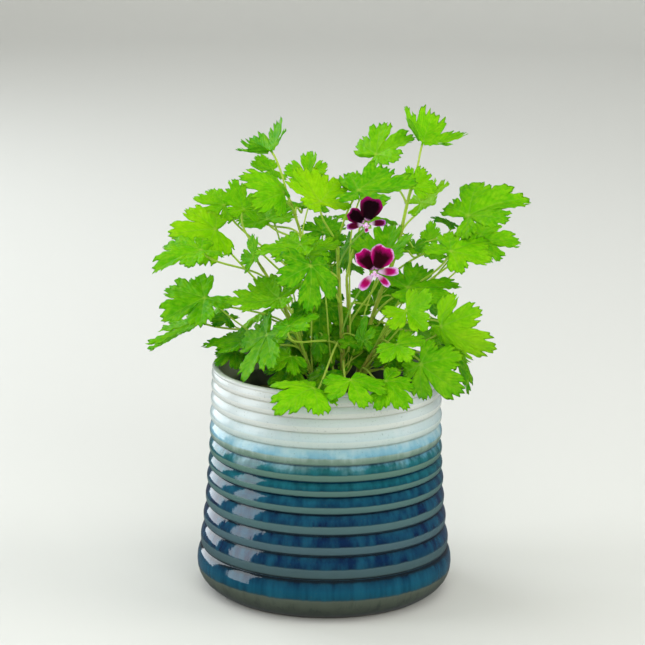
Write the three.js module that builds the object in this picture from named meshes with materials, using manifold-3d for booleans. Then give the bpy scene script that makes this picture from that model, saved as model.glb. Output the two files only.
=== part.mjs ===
// Potted lemon geranium: a ribbed glazed cover pot, the nursery pot and soil inside it,
// three branching stems, toothed leaves on thin stalks, and two flowers.
// Millimetres, +Z up. The origin is the centre of the cover pot's flat underside.
import * as THREE from "three";
import { mergeVertices } from "three/addons/utils/BufferGeometryUtils.js";
import Module from "manifold-3d";

const wasm = await Module();
wasm.setup();

// ---------- driving dimensions ----------
const GAP = 0.3; // clearance between pieces that touch
const POT_HEIGHT = 161;
const FOOT_RADIUS = 75; // the flat ring that the pot rests on
const BULGE_RADIUS = 90; // widest part, low on the pot
const BULGE_HEIGHT = 20;
const RIM_RADIUS = 80;
const RIM_INNER = 75;
const RIM_ROUND = 1.5; // rounding of the rim's two edges
const FLOOR = 10; // thickness of the pot's floor
const POT_SIDES = 40;
const CREST = 0.4; // height of a rib's crest, as a share of the rib

// The grooves from the lip down: height, radius in the groove, radius of the rib under it.
const GROOVES = [
  [158.5, 79.4, 80.4],
  [151.5, 78.9, 80.7],
  [143, 78.8, 81],
  [133, 78.8, 81.4],
  [122, 79, 81.7],
  [110, 79.2, 82],
  [98.5, 79.5, 82.5],
  [88, 80, 83.5],
  [76, 81, 84.3],
  [61.5, 82.4, 85.8],
  [47.3, 84, 87.6],
  [31, 86.4, BULGE_RADIUS],
];

// The round underside between the foot and the bulge: radius and height.
const FOOT_CURVE = [
  [82, 4],
  [87.5, 11],
];

// The inside wall from the rim down to the floor: radius and height.
const INSIDE_CURVE = [
  [RIM_INNER, 110],
  [79.5, 45],
  [81.5, 22],
  [75.5, FLOOR],
];

const NURSERY_RIM = 146; // height of the plastic pot's rim
const NURSERY_TOP = 65;
const NURSERY_BASE = 52;
const NURSERY_WALL = 1.2;
const NURSERY_LIP = 67; // radius of its rolled edge
const NURSERY_LIP_DEPTH = 8;
const NURSERY_SIDES = 32;
const SOIL_TOP = 138;
const SOIL_SIDES = 28;
const SOIL_SHOULDER = [6, 0.5]; // where the soil starts to fall: in from the wall, down
const SOIL_EDGE = 2; // how far it has fallen at the wall

const STALK_RADIUS = 0.8; // leaf stalks
const BLADE = 1; // thickness of a leaf at its middle

// ---------- colours ----------
const finish = (color, roughness) =>
  new THREE.MeshStandardMaterial({ color, roughness, metalness: 0 });
const CERAMIC = finish(0x2f6478, 0.12);
const PLASTIC = finish(0x1c1f1e, 0.5);
const EARTH = finish(0x3a2b1f, 0.95);
const BARK = finish(0x6f7d2c, 0.6);
const LEAF = finish(0x5fae14, 0.5);
const CALYX = finish(0x7c9a3a, 0.55);
const DARK_PETAL = finish(0x6d0a45, 0.5);
const PALE_PETAL = finish(0xe7b9dc, 0.5);

// ---------- helpers ----------
const rad = (degrees) => (degrees * Math.PI) / 180;
const vec = (p) => new THREE.Vector3(...p);

const group = new THREE.Group();
group.name = "potted_lemon_geranium";

function addMesh(name, geometry, material) {
  const mesh = new THREE.Mesh(geometry, material);
  mesh.name = name;
  group.add(mesh);
  return mesh;
}

// A ring-shaped or solid turned piece; profile points are [radius, height].
function turned(profile, sides) {
  const points = profile.map(([r, z]) => new THREE.Vector2(r, z));
  return new THREE.LatheGeometry(points, sides).rotateX(Math.PI / 2);
}

// A closed geometry as a solid that can be joined to another.
function solid(geometry) {
  const bare = geometry.clone();
  bare.deleteAttribute("normal");
  bare.deleteAttribute("uv");
  const merged = mergeVertices(bare, 1e-4);
  return new wasm.Manifold(
    new wasm.Mesh({
      numProp: 3,
      vertProperties: merged.attributes.position.array,
      triVerts: new Uint32Array(merged.index.array),
    }),
  );
}

// Several closed geometries joined into one.
function joined(geometries) {
  const body = geometries.map(solid).reduce((a, b) => a.add(b));
  const mesh = body.getMesh();
  const out = new THREE.BufferGeometry();
  out.setAttribute("position", new THREE.BufferAttribute(mesh.vertProperties, 3));
  out.setIndex(new THREE.BufferAttribute(mesh.triVerts, 1));
  out.computeVertexNormals();
  return out;
}

// A round tube of the given radius along a curve.
function tube(curve, radius, steps, sides = 6) {
  const corners = [];
  for (let i = 0; i < sides; i++) {
    const a = (2 * Math.PI * i) / sides;
    corners.push(new THREE.Vector2(radius * Math.cos(a), radius * Math.sin(a)));
  }
  return new THREE.ExtrudeGeometry(new THREE.Shape(corners), {
    steps,
    extrudePath: curve,
    bevelEnabled: false,
  });
}

// ---------- cover pot ----------
function coverPot() {
  const outside = [
    [0, 0],
    [FOOT_RADIUS, 0],
    ...FOOT_CURVE,
    [BULGE_RADIUS, BULGE_HEIGHT],
  ];
  for (let i = GROOVES.length - 1; i > 0; i--) {
    const [low, groove] = GROOVES[i];
    const [high, , crest] = GROOVES[i - 1];
    outside.push([groove, low]);
    outside.push([crest, low + CREST * (high - low)]);
  }
  const [lip, lipGroove] = GROOVES[0];
  outside.push([lipGroove, lip]);
  outside.push([RIM_RADIUS, lip + 1]);
  outside.push([RIM_RADIUS - RIM_ROUND, POT_HEIGHT]);
  outside.push([RIM_INNER + RIM_ROUND, POT_HEIGHT]);
  const inside = [[RIM_INNER, POT_HEIGHT - RIM_ROUND], ...INSIDE_CURVE, [0, FLOOR]];
  return turned([...outside, ...inside], POT_SIDES);
}
addMesh("cover_pot", coverPot(), CERAMIC);

// ---------- nursery pot and soil ----------
const NURSERY_FOOT = FLOOR + GAP;
const NURSERY_NECK = NURSERY_RIM - NURSERY_LIP_DEPTH;
addMesh(
  "nursery_pot",
  turned(
    [
      [0, NURSERY_FOOT],
      [NURSERY_BASE, NURSERY_FOOT],
      [NURSERY_TOP, NURSERY_NECK],
      [NURSERY_LIP, NURSERY_NECK],
      [NURSERY_LIP, NURSERY_RIM],
      [NURSERY_TOP - NURSERY_WALL, NURSERY_RIM],
      [NURSERY_TOP - NURSERY_WALL, NURSERY_NECK],
      [NURSERY_BASE - NURSERY_WALL, NURSERY_FOOT + NURSERY_WALL],
      [0, NURSERY_FOOT + NURSERY_WALL],
    ],
    NURSERY_SIDES,
  ),
  PLASTIC,
);
const SOIL_FOOT = NURSERY_FOOT + NURSERY_WALL + GAP;
addMesh(
  "soil",
  turned(
    [
      [0, SOIL_FOOT],
      [NURSERY_BASE - NURSERY_WALL - 2 * GAP, SOIL_FOOT],
      [NURSERY_TOP - NURSERY_WALL - 3 * GAP, SOIL_TOP - SOIL_EDGE],
      [NURSERY_TOP - NURSERY_WALL - SOIL_SHOULDER[0], SOIL_TOP - SOIL_SHOULDER[1]],
      [0, SOIL_TOP],
    ],
    SOIL_SIDES,
  ),
  EARTH,
);

// ---------- stems ----------
// Each branch: its radius and the points that it passes through.
const SOIL_LINE = SOIL_TOP + 3 * GAP;
const BRANCHES = {
  left: [
    [1.7, [-6, -6, SOIL_LINE], [-12, -8, 160], [-24, -8, 191], [-37, -8, 217], [-50, -8, 238]],
    [1.6, [-6, -6, SOIL_LINE], [-6, 2, 170], [-12, 5, 215], [-18, 5, 249], [-27, 5, 277]],
  ],
  centre: [
    [2, [9, -9, SOIL_LINE], [11, -12, 160], [10, -12, 189], [8, -12, 217], [6, -10, 254]],
    [1.6, [9, -9, SOIL_LINE], [13, 0, 160], [15, 5, 185], [13, 6, 224]],
  ],
  right: [
    [1.8, [20, -2, SOIL_LINE], [24, 8, 165], [36, 8, 208], [47, 5, 240], [54, 5, 274], [60, 5, 300]],
    [1.6, [20, -2, SOIL_LINE], [24, -14, 160], [40, -25, 189]],
  ],
};
const branchCurve = (points) => new THREE.CatmullRomCurve3(points.map(vec));
const STEMS = {};
for (const [side, branches] of Object.entries(BRANCHES)) {
  branches.forEach(([radius, ...points], i) => {
    STEMS[side + i] = { radius, curve: branchCurve(points) };
  });
  const parts = branches.map(([radius, ...points]) =>
    tube(branchCurve(points), radius, 3 * points.length, 6),
  );
  addMesh("stem_" + side, joined(parts), BARK);
}

// ---------- leaves ----------
// A blade has five toothed lobes round the top of its stalk: bearing in degrees and length.
const LOBES = [
  [-112, 0.64],
  [-56, 0.86],
  [0, 1],
  [56, 0.86],
  [112, 0.64],
];
const LOBE_HALF = 28.5; // half the angle that a lobe spans
const LOBE_OUTER = 38; // the same towards the stalk, on the two lobes beside it
const NOTCH = 0.5; // radius between two lobes, of the lobe's length
const STALK_NOTCH = 0.12;
const TEETH = 0.17; // depth of the teeth, of the lobe's length
const TOOTH_RATE = 2.5; // teeth from a lobe's middle to its side
const LEAST_RADIUS = 0.1; // the outline never comes nearer the stalk than this
const LOBE_CORNERS = [-19, 0, 19]; // bearings of a lobe's corners from its middle
const LOBE_SWING = 4; // how far a lobe may lean to one side, in degrees
const LOBE_SPREAD = 0.07; // how much longer or shorter a lobe may be

const wobble = (seed, k) => Math.sin(seed * 2.3 + k * 1.7);
const lobesOf = (seed) =>
  LOBES.map(([bearing, length], k) => ({
    bearing: bearing + LOBE_SWING * wobble(seed, k),
    length: length * (1 + LOBE_SPREAD * wobble(seed, k + 7)),
  }));

// The outline's radius at a bearing, as a share of the leaf's size.
function outlineRadius(bearing, lobes) {
  let radius = LEAST_RADIUS;
  lobes.forEach((lobe, k) => {
    const off = bearing - lobe.bearing;
    const beside = (k === 0 && off < 0) || (k === lobes.length - 1 && off > 0);
    const share = Math.abs(off) / (beside ? LOBE_OUTER : LOBE_HALF);
    if (share > 1) return;
    const low = beside ? STALK_NOTCH : NOTCH;
    const round = low + (1 - low) * (1 - share ** 2.6) ** 0.6;
    const tooth = 2 * Math.abs(TOOTH_RATE * share - Math.round(TOOTH_RATE * share));
    const cut = TEETH * tooth * Math.max(round - LEAST_RADIUS, 0);
    radius = Math.max(radius, lobe.length * round * (1 - cut));
  });
  return radius;
}

// The bearings of the outline's corners, from the stalk's notch all the way round.
function cornerBearings(lobes) {
  const list = [-180, lobes[0].bearing - LOBE_OUTER];
  lobes.forEach((lobe, k) => {
    if (k > 0) list.push((lobes[k - 1].bearing + lobe.bearing) / 2);
    for (const off of LOBE_CORNERS) list.push(lobe.bearing + off);
  });
  list.push(lobes.at(-1).bearing + LOBE_OUTER);
  return list;
}

// Splits the quads of a blade's lower edge band along the diagonals of the upper ones, so
// that the two faces of a curled blade never pass through each other.
function matchDiagonals(index, count) {
  for (let quad = 0; quad < count; quad++) {
    const first = 3 * (3 * count + 2 * quad);
    const [a, b, d, c] = [0, 1, 2, 4].map((k) => index.getX(first + k));
    [a, b, c, a, c, d].forEach((corner, k) => index.setX(first + k, corner));
  }
}

// A thin blade, thickest at its middle and sharp at its edge.
function bladeGeometry(size, curl, fold, seed) {
  const lobes = lobesOf(seed);
  const corners = cornerBearings(lobes);
  const count = corners.length;
  const geometry = new THREE.SphereGeometry(1, count, 4).rotateX(Math.PI / 2);
  const place = geometry.attributes.position;
  for (let i = 0; i < place.count; i++) {
    const x = place.getX(i);
    const y = place.getY(i);
    const height = place.getZ(i);
    const share = Math.min(Math.hypot(x, y), 1);
    const turn = Math.round(((Math.atan2(y, x) + Math.PI) * count) / (2 * Math.PI));
    const bearing = corners[turn % count];
    const r = share < 1e-6 ? 0 : share * size * outlineRadius(bearing, lobes);
    const u = r * Math.cos(rad(bearing));
    const v = r * Math.sin(rad(bearing));
    const rise = (curl * r * r) / size + fold * Math.abs(v);
    const half = Math.abs(height) < 1e-6 ? 0 : Math.sign(height) * (BLADE / 2) * (1 - share ** 4);
    place.setXYZ(i, u, v, rise + half);
  }
  matchDiagonals(geometry.index, count);
  return geometry;
}

// Each leaf: the point where its blade meets the stalk; heading, pitch and roll of the
// middle lobe, in degrees; size, curl and fold of the blade; the branch that carries it
// and how far along that branch its stalk starts.
const LEAVES = [
  [[-41, 20, 309], 107, -21, -25, 28, 0.65, 0.24, "left1", 0.98],
  [[-40, 48, 290], 210, 10, -28, 20, 0.18, 0, "left1", 0.95],
  [[-31, -25, 288], 206, 45, -44, 28, -0.39, -0.14, "left1", 0.93],
  [[-6, -40, 285], 124, 26, 9, 35, 0.25, 0.09, "centre0", 0.95],
  [[-15, 55, 283], 82, 59, -18, 22, 0.11, 0.12, "left1", 0.8],
  [[-59, 0, 271], 109, 44, 20, 24, 0.12, 0, "left1", 0.45],
  [[-74, 40, 264], 178, 15, -23, 24, 0, 0, "left1", 0.5],
  [[-79, 12, 254], 209, 8, -41, 34, -0.18, 0, "left0", 0.5],
  [[-87, -26, 247], 202, -3, -10, 34, -0.27, 0.37, "left0", 0.8],
  [[-85, -15, 211], 203, -20, -20, 37, -0.05, 0.2, "left0", 0.45],
  [[-91, 25, 185], 212, -28, 13, 42, 0.21, 0.09, "left0", 0.3],
  [[-33, -48, 219], 161, -16, -12, 39, 0.3, 0.05, "left0", 0.3],
  [[-51, -26, 242], 90, 46, -65, 20, 0.25, 0.05, "left0", 0.97],
  [[-19, -42, 255], 176, -8, -11, 31, 0.02, 0.08, "left1", 0.8],
  [[-43, 28, 258], 103, 9, -8, 34, 0.09, 0.13, "left1", 0.75],
  [[-12, -66, 246], 280, -50, -23, 32, -0.3, 0, "centre0", 0.6],
  [[-15, -30, 246], 5, 24, 22, 24, 0, 0.05, "centre0", 0.75],
  [[16, 35, 241], -126, -63, 26, 24, -0.2, 0, "centre1", 0.98],
  [[38, -15, 242], 73, 24, -13, 32, 0.25, 0.19, "centre1", 0.6],
  [[65, 12, 318], 91, -4, 28, 33, 0.65, 0.2, "right0", 0.99],
  [[33, 30, 305], -8, 37, 33, 32, -0.19, 0.42, "right0", 0.85],
  [[20, -35, 292], -1, 1, 17, 39, 0.18, 0.09, "centre0", 0.99],
  [[58, -5, 289], 69, 27, 47, 19, 0.3, 0.19, "right0", 0.93],
  [[65, 32, 271], -5, 31, 16, 26, 0.26, 0, "right0", 0.72],
  [[97, 5, 267], 11, 29, 21, 42, -0.26, 0.37, "right0", 0.5],
  [[84, -25, 249], 34, 21, 19, 33, -0.04, 0, "right0", 0.34],
  [[106, 50, 241], 7, 0, 24, 33, -0.03, 0.05, "right0", 0.22],
  [[73, 60, 238], 119, 95, 11, 14, 0.01, 0.02, "right0", 0.55],
  [[55, -22, 222], 14, 0, 14, 41, 0.12, 0.07, "right1", 0.35],
  [[53, -70, 217], -51, -28, 44, 25, 0.26, 0.43, "right1", 0.9],
  [[77, -60, 204], -44, -25, 95, 34, -0.44, -0.19, "right1", 0.98],
  [[47, -80, 196], -64, -17, 25, 23, 0.08, -0.01, "right1", 0.8],
  [[64, -62, 178], -38, -33, 75, 31, -0.35, 0, "right1", 0.7],
  [[40, -78, 170], -45, -28, 17, 26, -0.13, 0.05, "right1", 0.35],
  [[16, -88, 172], -68, -17, 3, 29, -0.15, 0, "centre0", 0.2],
  [[-9, -92, 168], 230, 4, -16, 34, -0.24, 0.05, "centre0", 0.34],
  [[-25, -42, 177], 229, -9, -27, 20, -0.17, 0, "left0", 0.2],
  [[-41, -45, 191], 205, -54, -3, 37, 0, 0.05, "left0", 0.4],
  [[-56, -14, 181], 170, -6, -7, 31, 0.02, 0.05, "left0", 0.32],
  [[-26, -78, 207], -1, 21, 7, 25, 0.06, 0.05, "centre0", 0.3],
  [[25, -40, 188], 90, 74, -60, 18, -0.05, -0.01, "centre0", 0.4],
  [[-6, -26, 184], -110, -73, 34, 15, -0.07, -0.06, "left1", 0.3],
];

const LEAVE = vec([0, 0, 0.9]); // upward part of a stalk's direction where it starts
const LEAVE_OUT = 0.45; // and the part of it towards the blade
const ARRIVE = vec([0.5, 0, 0.85]); // its direction at the blade, in the blade's frame
const PULL = 0.3; // length of the curve's two handles, as a share of its reach
const STALK_STEP = 12; // length of a straight piece of stalk
const STALK_STEPS = [3, 5]; // fewest and most of them

// A stalk's curve from its branch to its blade, in the blade's own frame.
function stalkCurve(branch, along, target, arrival, toLocal) {
  const { radius, curve } = STEMS[branch];
  const root = curve.getPointAt(along);
  const out = target.clone().sub(root).setZ(0).normalize();
  const start = root.clone().addScaledVector(out, radius + STALK_RADIUS + 2 * GAP);
  const reach = start.distanceTo(target);
  const leave = out.multiplyScalar(LEAVE_OUT).add(LEAVE);
  const points = [
    start,
    start.clone().addScaledVector(leave, PULL * reach),
    target.clone().addScaledVector(arrival, -PULL * reach),
    target,
  ];
  return new THREE.CubicBezierCurve3(...points.map((p) => p.applyMatrix4(toLocal)));
}

LEAVES.forEach(([at, heading, pitch, roll, size, curl, fold, branch, along], i) => {
  const turn = new THREE.Euler(rad(roll), -rad(pitch), rad(heading), "ZYX");
  const frame = new THREE.Matrix4().makeRotationFromEuler(turn).setPosition(...at);
  const arrival = ARRIVE.clone().transformDirection(frame);
  const toLocal = frame.clone().invert();
  const curve = stalkCurve(branch, along, vec(at), arrival, toLocal);
  const [fewest, most] = STALK_STEPS;
  const steps = Math.min(Math.max(Math.round(curve.getLength() / STALK_STEP), fewest), most);
  const blade = bladeGeometry(size, curl, fold, i);
  const stalk = tube(curve, STALK_RADIUS, steps, 4);
  const name = "leaf_" + String(i + 1).padStart(2, "0");
  const mesh = addMesh(name, joined([blade, stalk]), LEAF);
  mesh.position.set(...at);
  mesh.rotation.copy(turn);
});

// ---------- flowers ----------
const PETAL = 0.6; // thickness of a petal at its middle
const PETAL_START = 1.8; // distance from the flower's axis to a petal's base
const PETAL_CORNERS = 14;
const PETAL_BASE = 0.45; // width of a petal at its base, as a share of its width
const PETAL_FLARE = 0.75; // how much wider it is at its end
const CALYX_LENGTH = 7;
const CALYX_RADIUS = 1.7;
const CALYX_FOOT = 0.9; // its radius where the stalk begins
const CALYX_BACK = 1.2; // distance from the petals to the calyx
const FLOWER_STALK = 0.7;

// A petal lies along +X from its base; it widens towards its end and bends back there.
function petalGeometry(length, width, bend) {
  const geometry = new THREE.SphereGeometry(1, PETAL_CORNERS, 4).rotateX(Math.PI / 2);
  const place = geometry.attributes.position;
  for (let i = 0; i < place.count; i++) {
    const x = place.getX(i);
    const side = place.getY(i);
    const height = place.getZ(i);
    const along = (x + 1) / 2;
    const wide = (width / 2) * (PETAL_BASE + PETAL_FLARE * along);
    const share = Math.min(Math.hypot(x, side), 1);
    const half = Math.abs(height) < 1e-6 ? 0 : Math.sign(height) * (PETAL / 2) * (1 - share ** 4);
    place.setXYZ(i, length * along, wide * side, half - bend * length * along ** 2);
  }
  return geometry;
}

// Each flower: centre, turn of its face about the vertical, upward tilt of its face, the
// branch that carries it and how far along. Each petal: name, bearing in the face (0 is
// right, 90 is up), length, width, lean towards the front, bend, and height off the face.
const FLOWERS = [
  {
    name: "upper_flower",
    at: [25, -74, 277],
    turn: -4,
    tilt: 22,
    branch: "centre0",
    along: 0.82,
    petals: [
      ["petal_top_left", 140, 13.5, 12, 10, 0.1, 0, DARK_PETAL],
      ["petal_top_right", 74, 16.5, 17, 4, 0.1, 1.1, DARK_PETAL],
      ["petal_left", 196, 11.5, 5.5, 8, 0.05, 0, PALE_PETAL],
      ["petal_right", 5, 11.5, 5.5, 8, 0.05, 0, PALE_PETAL],
      ["petal_bottom", 276, 6.5, 3.5, 45, 0.1, 0, PALE_PETAL],
    ],
  },
  {
    name: "lower_flower",
    at: [31, -82, 246],
    turn: 3,
    tilt: 14,
    branch: "centre0",
    along: 0.42,
    petals: [
      ["petal_top_left", 129, 15.5, 14.5, 4, 0.1, 0, DARK_PETAL],
      ["petal_top_right", 64, 17, 18, 2, 0.1, 1.1, DARK_PETAL],
      ["petal_left", 230, 13.5, 7.5, 4, 0.05, 0, PALE_PETAL],
      ["petal_right", 2, 14.5, 7, 4, 0.05, 0, PALE_PETAL],
      ["petal_bottom", 316, 12, 5.5, 4, 0.05, 0, PALE_PETAL],
    ],
  },
];

for (const { name, at, turn, tilt, branch, along, petals } of FLOWERS) {
  const flower = new THREE.Group();
  flower.position.set(...at);
  flower.rotation.set(rad(90 - tilt), 0, rad(turn), "ZYX");
  flower.updateMatrix();
  group.add(flower);

  const calyx = new THREE.CylinderGeometry(CALYX_RADIUS, CALYX_FOOT, CALYX_LENGTH, 8)
    .rotateX(Math.PI / 2)
    .translate(0, 0, -CALYX_LENGTH / 2 - CALYX_BACK);
  const toLocal = flower.matrix.clone().invert();
  const face = vec([0, 0, 1]).transformDirection(flower.matrix);
  const behind = vec(at).addScaledVector(face, -CALYX_LENGTH);
  const curve = stalkCurve(branch, along, behind, face, toLocal);
  const stalk = new THREE.Mesh(joined([calyx, tube(curve, FLOWER_STALK, 8, 6)]), CALYX);
  stalk.name = name + "_stalk";
  flower.add(stalk);

  for (const [petal, bearing, length, width, lean, bend, off, material] of petals) {
    const mesh = new THREE.Mesh(petalGeometry(length, width, bend), material);
    mesh.name = name + "_" + petal;
    const a = rad(bearing);
    mesh.position.set(PETAL_START * Math.cos(a), PETAL_START * Math.sin(a), off);
    mesh.rotation.set(0, -rad(lean), a, "ZYX");
    flower.add(mesh);
  }
}

export default group;
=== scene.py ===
# Potted lemon geranium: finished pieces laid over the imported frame.
# Lengths in the tables are millimetres; every mesh is made in metres.
import math

import bpy
import numpy as np
from mathutils import Matrix


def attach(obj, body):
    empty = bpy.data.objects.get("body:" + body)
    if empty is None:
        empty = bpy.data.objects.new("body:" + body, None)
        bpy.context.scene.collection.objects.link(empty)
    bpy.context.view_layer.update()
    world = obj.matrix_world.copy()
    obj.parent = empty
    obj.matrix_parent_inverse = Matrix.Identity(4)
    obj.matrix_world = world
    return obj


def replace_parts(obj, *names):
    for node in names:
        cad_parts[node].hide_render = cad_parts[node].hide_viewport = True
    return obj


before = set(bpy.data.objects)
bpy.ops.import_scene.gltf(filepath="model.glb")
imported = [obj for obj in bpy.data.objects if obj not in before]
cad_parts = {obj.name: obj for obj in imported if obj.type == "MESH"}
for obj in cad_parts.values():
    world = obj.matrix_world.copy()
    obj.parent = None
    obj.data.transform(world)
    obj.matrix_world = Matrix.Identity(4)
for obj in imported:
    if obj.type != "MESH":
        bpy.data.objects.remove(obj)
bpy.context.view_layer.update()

MM = 0.001
TURN = 2 * math.pi


# ---------- colours ----------
def linear(red, green, blue):
    """A display colour, 0 to 255 a channel, as the linear colour that shaders take."""
    share = np.array([red, green, blue]) / 255
    low = share / 12.92
    high = ((share + 0.055) / 1.055) ** 2.4
    return (*np.where(share <= 0.04045, low, high).tolist(), 1.0)


# ---------- shader helpers ----------
def node(tree, kind, **settings):
    """A new node of the given kind, with its settings."""
    made = tree.nodes.new(kind)
    for key, value in settings.items():
        setattr(made, key, value)
    return made


def tree_of(*values):
    """The node tree that the first socket among the values belongs to."""
    return next(value.id_data for value in values if hasattr(value, "is_output"))


def wire(value, socket):
    """Links a socket, or sets a plain value. A colour of three parts is a display colour."""
    if hasattr(value, "is_output"):
        socket.id_data.links.new(value, socket)
    elif socket.type == "RGBA" and len(value) == 3:
        socket.default_value = linear(*value)
    else:
        socket.default_value = value


def result(kind, inputs, output=0, **settings):
    """The output of a new node, from the values of its inputs, by number or name."""
    made = node(tree_of(*inputs.values()), kind, **settings)
    for key, value in inputs.items():
        wire(value, made.inputs[key])
    return made.outputs[output]


def calc(operation, *values):
    """A maths node's result; the values are sockets or numbers."""
    return result("ShaderNodeMath", dict(enumerate(values)), operation=operation)


def times(first, second):
    return calc("MULTIPLY", first, second)


def minus(first, second):
    return calc("SUBTRACT", first, second)


def times_plus(value, share, added):
    return calc("MULTIPLY_ADD", value, share, added)


def span(*values, smooth=False):
    """A value carried from low..high to another low..high (0..1 if not given), and held
    at the ends."""
    kind = "SMOOTHSTEP" if smooth else "LINEAR"
    inputs = dict(enumerate(values))
    return result("ShaderNodeMapRange", inputs, interpolation_type=kind, clamp=True)


def mix(share, first, second, blend="MIX"):
    """The first colour, with a share of the second laid over it."""
    inputs = {0: share, 6: first, 7: second}
    return result("ShaderNodeMix", inputs, 2, data_type="RGBA", blend_type=blend)


def tinted(colour, *tints):
    """The colour with tints laid over it in turn, each a (share, colour) pair."""
    for share, tint in tints:
        colour = mix(share, colour, tint)
    return colour


def ramp(value, *stops):
    """A colour ramp; stops are (place, colour), with the places from 0 to 1. A colour of
    three parts is a display colour."""
    stops = [(at, linear(*colour) if len(colour) == 3 else colour) for at, colour in stops]
    made = node(value.id_data, "ShaderNodeValToRGB")
    points = made.color_ramp.elements
    points[0].position, points[0].color = stops[0]
    points[1].position, points[1].color = stops[-1]
    for place, colour in stops[1:-1]:
        points.new(place).color = colour
    wire(value, made.inputs[0])
    return made.outputs[0]


def noise(vector, scale, detail=3.0, rough=0.55):
    """Fractal noise, about 0.5 in the mean."""
    inputs = {"Vector": vector, "Scale": scale, "Detail": detail, "Roughness": rough}
    return result("ShaderNodeTexNoise", inputs, "Fac")


def stretched(vector, scale):
    """The vector times three scales."""
    return result("ShaderNodeMapping", {"Vector": vector, "Scale": scale})


def bump(height, distance, strength):
    """A normal that a height bends; distance is in metres."""
    inputs = {"Strength": strength, "Distance": distance, "Height": height}
    return result("ShaderNodeBump", inputs)


def parts(vector):
    """A vector's three parts."""
    split = node(vector.id_data, "ShaderNodeSeparateXYZ")
    wire(vector, split.inputs[0])
    return split.outputs[:3]


def surface_uv(tree):
    return node(tree, "ShaderNodeUVMap", uv_map="surface").outputs[0]


def attribute(tree, name):
    return node(tree, "ShaderNodeAttribute", attribute_name=name).outputs["Fac"]


def place(tree):
    """Object coordinates."""
    return node(tree, "ShaderNodeTexCoord").outputs["Object"]


def coat(shader, colour, rough, normal):
    """Sets a Principled shader's colour, roughness and normal."""
    for key, value in (("Base Color", colour), ("Roughness", rough), ("Normal", normal)):
        wire(value, shader.inputs[key])


def let_through(shader, share, colour, normal=None):
    """Mixes in a share of translucent shader, so that light comes through."""
    tree = shader.id_data
    through = node(tree, "ShaderNodeBsdfTranslucent")
    wire(colour, through.inputs["Color"])
    if normal is not None:
        wire(normal, through.inputs["Normal"])
    both = result("ShaderNodeMixShader", dict(enumerate((share, shader.outputs[0], through.outputs[0]))))
    wire(both, tree.nodes["Material Output"].inputs["Surface"])


def finish(name, **plain):
    """A new material with a Principled shader; plain gives its unlinked values."""
    material = bpy.data.materials.new(name)
    material.use_nodes = True
    tree = material.node_tree
    shader = tree.nodes["Principled BSDF"]
    for key, value in plain.items():
        shader.inputs[key.replace("_", " ")].default_value = value
    return material, tree, shader


# ---------- mesh helpers ----------
def joined(count, sides, first):
    """Four-sided faces that join each ring of vertices to the next."""
    around = np.arange(sides)
    beyond = (around + 1) % sides
    here = first + sides * np.arange(count - 1)[:, None]
    after = here + sides
    faces = np.stack([here + around, after + around, after + beyond, here + beyond], axis=-1)
    return faces.reshape(-1, 4)


def stack(start, rings, end, uv=None, marks=None):
    """A closed shell from a stack of rings.

    rings is an array (rings, sides, 3). start and end are the points that close it. Each
    ring joins the next with four-sided faces, and the two ends are fans. Where the
    faces would enclose a negative volume they are all turned over. uv is one pair a
    vertex, and marks are named numbers, one a vertex.
    """
    count, sides = rings.shape[:2]
    points = np.vstack([start, rings.reshape(-1, 3), end]) * MM
    around = np.arange(sides)
    beyond = (around + 1) % sides
    quads = joined(count, sides, 1)
    last = 1 + sides * (count - 1)
    first_fan = np.stack([np.zeros(sides, int), 1 + around, 1 + beyond], axis=-1)
    last_fan = np.stack([last + around, np.full(sides, last + sides), last + beyond], axis=-1)
    triangles = np.vstack([quads[:, [0, 1, 2]], quads[:, [0, 2, 3]], first_fan, last_fan])
    a, b, c = (points[triangles[:, k]] for k in range(3))
    if np.einsum("ij,ij->i", a, np.cross(b, c)).sum() < 0:
        quads, first_fan, last_fan = quads[:, ::-1], first_fan[:, ::-1], last_fan[:, ::-1]
    return points, quads.tolist() + first_fan.tolist() + last_fan.tolist(), uv, marks


def put(name, data):
    """A new object in the scene."""
    made = bpy.data.objects.new(name, data)
    bpy.context.scene.collection.objects.link(made)
    return made


def smooth_mesh(name, points, faces, material):
    """A new mesh with smooth faces and one material."""
    mesh = bpy.data.meshes.new(name)
    mesh.from_pydata(points, [], faces)
    mesh.polygons.foreach_set("use_smooth", np.ones(len(faces), bool))
    mesh.materials.append(material)
    return mesh


def piece(name, shells, material):
    """One object from closed shells, each (points, faces, uv, marks) as stack gives."""
    points = np.vstack([shell[0] for shell in shells])
    faces, first = [], 0
    for shell in shells:
        faces += [[first + k for k in face] for face in shell[1]]
        first += len(shell[0])
    mesh = smooth_mesh(name, points, faces, material)
    if shells[0][2] is not None:
        uv = np.vstack([shell[2] for shell in shells]).astype(np.float32)
        corner = np.empty(len(mesh.loops), np.int32)
        mesh.loops.foreach_get("vertex_index", corner)
        mesh.uv_layers.new(name="surface").data.foreach_set("uv", uv[corner].ravel())
    for key in shells[0][3] or ():
        values = np.concatenate([shell[3][key] for shell in shells]).astype(np.float32)
        mesh.attributes.new(key, "FLOAT", "POINT").data.foreach_set("value", values)
    mesh.update()
    made = put(name, mesh)
    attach(made, "root")
    return made


def turned(radius, height, sides):
    """Rings round the axis: x = radius cos a, y = radius sin a, z = height."""
    angle = TURN * np.arange(sides) / sides
    radius = np.asarray(radius, float)[:, None]
    height = np.repeat(np.asarray(height, float)[:, None], sides, 1)
    return np.stack([radius * np.cos(angle), radius * np.sin(angle), height], -1)


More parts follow.
